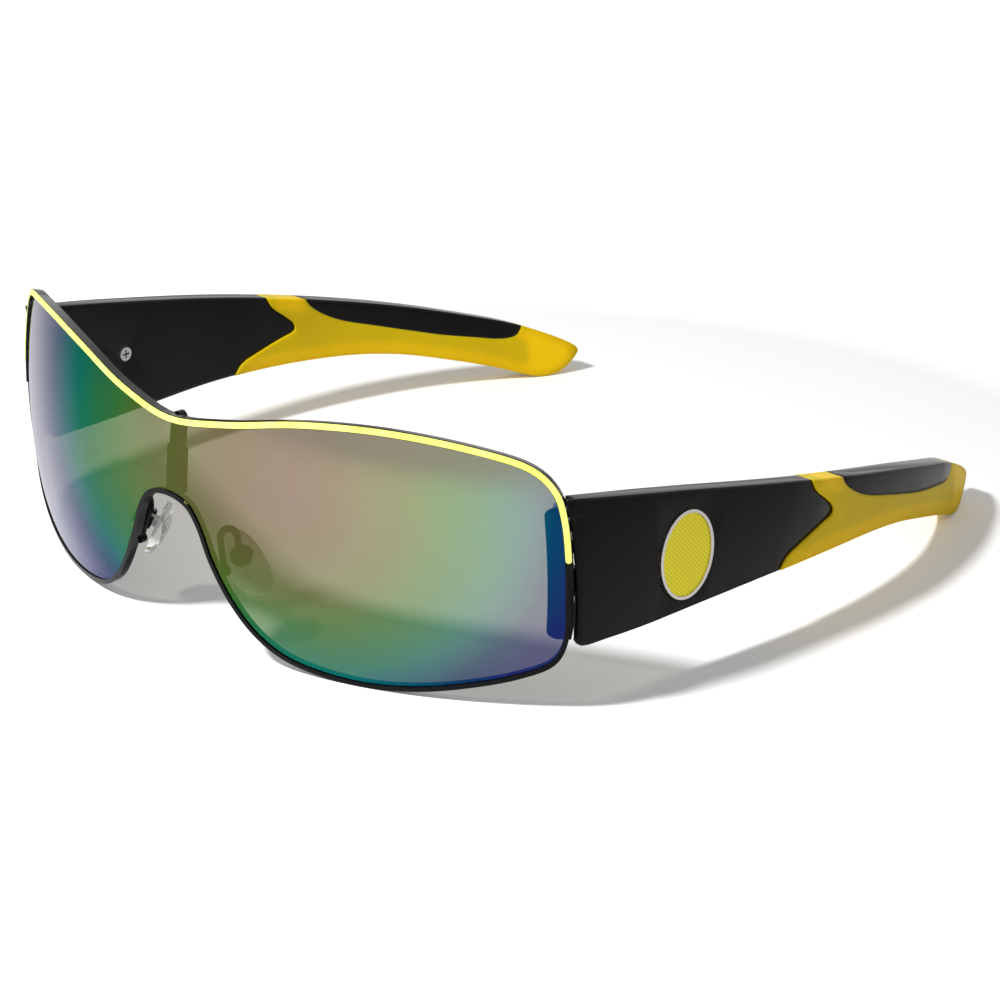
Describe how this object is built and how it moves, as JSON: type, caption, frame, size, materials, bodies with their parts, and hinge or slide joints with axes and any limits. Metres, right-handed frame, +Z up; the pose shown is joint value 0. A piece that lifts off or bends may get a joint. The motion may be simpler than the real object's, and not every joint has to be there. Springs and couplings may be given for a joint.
{
  "type": "shield sunglasses",
  "caption": "Wraparound shield sunglasses: a one-piece mirrored lens in a slim metal rim with a bright stripe, wire nose pads and wide folding temples with soft ear ends.",
  "frame": {"origin": "on the surface that the glasses stand on, below the middle of their bounding box", "axes": "+X to the wearer's left, -Y the way the lens faces, +Y from the lens towards the temple tips, +Z up"},
  "size_m": [0.1386, 0.148, 0.045],
  "materials": {
    "mirrored_lens": "tinted polycarbonate with a mirror coating, high gloss",
    "black_metal": "gloss black lacquer",
    "yellow_enamel": "gloss enamel",
    "steel": "polished",
    "pad_core": "moulded, clear grey",
    "clear_silicone": "clear soft silicone",
    "black_plastic": "high gloss",
    "yellow_rubber": "satin moulded rubber",
    "silver_metal": "polished plating"
  },
  "bodies": {
    "front": {"lens": "mirrored_lens", "rim_upper": "black_metal", "rim_lower": "black_metal", "rim_stripe": "yellow_enamel", "bridge_strut": "black_metal", "end_piece_right": "black_metal", "end_piece_left": "black_metal", "lock_plate_right": "black_metal", "lock_plate_left": "black_metal", "rim_lock_screws": "steel", "hinge_screw_right": "steel", "hinge_screw_left": "steel", "nose_pad_arm_right": "black_metal", "nose_pad_arm_left": "black_metal", "nose_pad_screws": "steel"},
    "pad_right": {"nose_pad_insert_right": "pad_core", "nose_pad_right": "clear_silicone"},
    "pad_left": {"nose_pad_insert_left": "pad_core", "nose_pad_left": "clear_silicone"},
    "temple_right": {"hinge_leaf_right": "black_metal", "temple_arm_right": "black_plastic", "ear_sleeve_right": "yellow_rubber", "badge_frame_right": "silver_metal", "badge_field_right": "yellow_enamel", "temple_screw_right": "steel"},
    "temple_left": {"hinge_leaf_left": "black_metal", "temple_arm_left": "black_plastic", "ear_sleeve_left": "yellow_rubber", "badge_frame_left": "silver_metal", "badge_field_left": "yellow_enamel", "temple_screw_left": "steel"}
  },
  "joints": [
    {"name": "temple_right_hinge", "type": "hinge", "parent": "front", "child": "temple_right", "pos_m": [0.06255, -0.0471, 0.02945], "axis": [0, 0, 1], "range_deg": [0, 82]},
    {"name": "temple_left_hinge", "type": "hinge", "parent": "front", "child": "temple_left", "pos_m": [-0.06255, -0.0471, 0.02945], "axis": [0, 0, -1], "range_deg": [0, 68]},
    {"name": "pad_right_rock", "type": "hinge", "parent": "front", "child": "pad_right", "pos_m": [0.0116, -0.06823, 0.01674], "axis": [0.3766, 0.8075, 0.454], "range_deg": [-8, 8]},
    {"name": "pad_left_rock", "type": "hinge", "parent": "front", "child": "pad_left", "pos_m": [-0.0116, -0.06823, 0.01674], "axis": [-0.3766, 0.8075, 0.454], "range_deg": [-8, 8]}
  ]
}
